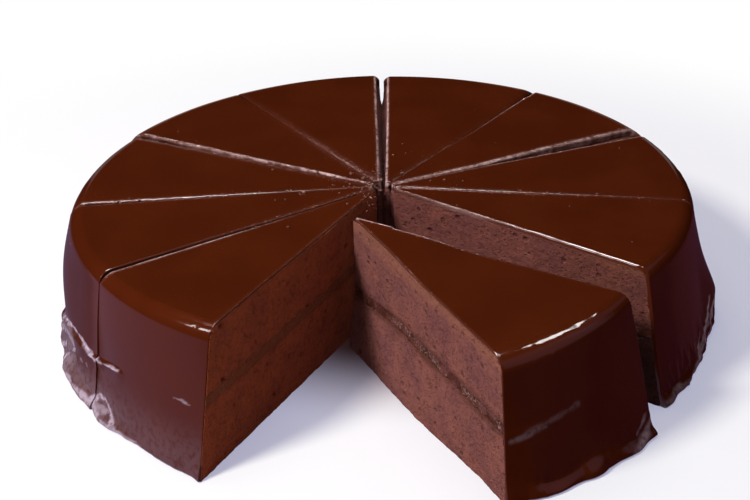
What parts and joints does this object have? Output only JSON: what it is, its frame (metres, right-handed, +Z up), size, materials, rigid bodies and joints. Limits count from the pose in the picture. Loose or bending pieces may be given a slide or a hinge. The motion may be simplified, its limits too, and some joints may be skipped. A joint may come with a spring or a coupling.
{
  "type": "sachertorte cake",
  "caption": "Round chocolate sponge cake with a jam filling under a smooth chocolate icing, cut into slices, some of them taken.",
  "frame": {"origin": "on the surface the cake stands on, under the middle of the round cake, where its cuts meet", "axes": "+Z up, -Y towards the open front where slices were taken, +X to the right seen from the front"},
  "size_m": [0.2678, 0.2708, 0.055],
  "materials": {
    "icing": "smooth glossy dark chocolate icing",
    "sponge": "matt fine-pored brown chocolate sponge",
    "jam": "moist dark jam soaked into the sponge"
  },
  "bodies": {
    "root": {"slice_1_base_sponge": "sponge", "slice_1_icing": "icing", "slice_1_jam": "jam", "slice_1_top_sponge": "sponge", "slice_2_base_sponge": "sponge", "slice_2_icing": "icing", "slice_2_jam": "jam", "slice_2_top_sponge": "sponge", "slice_3_base_sponge": "sponge", "slice_3_icing": "icing", "slice_3_jam": "jam", "slice_3_top_sponge": "sponge", "slice_4_base_sponge": "sponge", "slice_4_icing": "icing", "slice_4_jam": "jam", "slice_4_top_sponge": "sponge", "slice_5_base_sponge": "sponge", "slice_5_icing": "icing", "slice_5_jam": "jam", "slice_5_top_sponge": "sponge", "slice_6_base_sponge": "sponge", "slice_6_icing": "icing", "slice_6_jam": "jam", "slice_6_top_sponge": "sponge", "slice_7_base_sponge": "sponge", "slice_7_icing": "icing", "slice_7_jam": "jam", "slice_7_top_sponge": "sponge", "slice_8_base_sponge": "sponge", "slice_8_icing": "icing", "slice_8_jam": "jam", "slice_8_top_sponge": "sponge", "slice_9_base_sponge": "sponge", "slice_9_icing": "icing", "slice_9_jam": "jam", "slice_9_top_sponge": "sponge", "slice_drawn_base_sponge": "sponge", "slice_drawn_icing": "icing", "slice_drawn_jam": "jam", "slice_drawn_top_sponge": "sponge"}
  },
  "joints": []
}
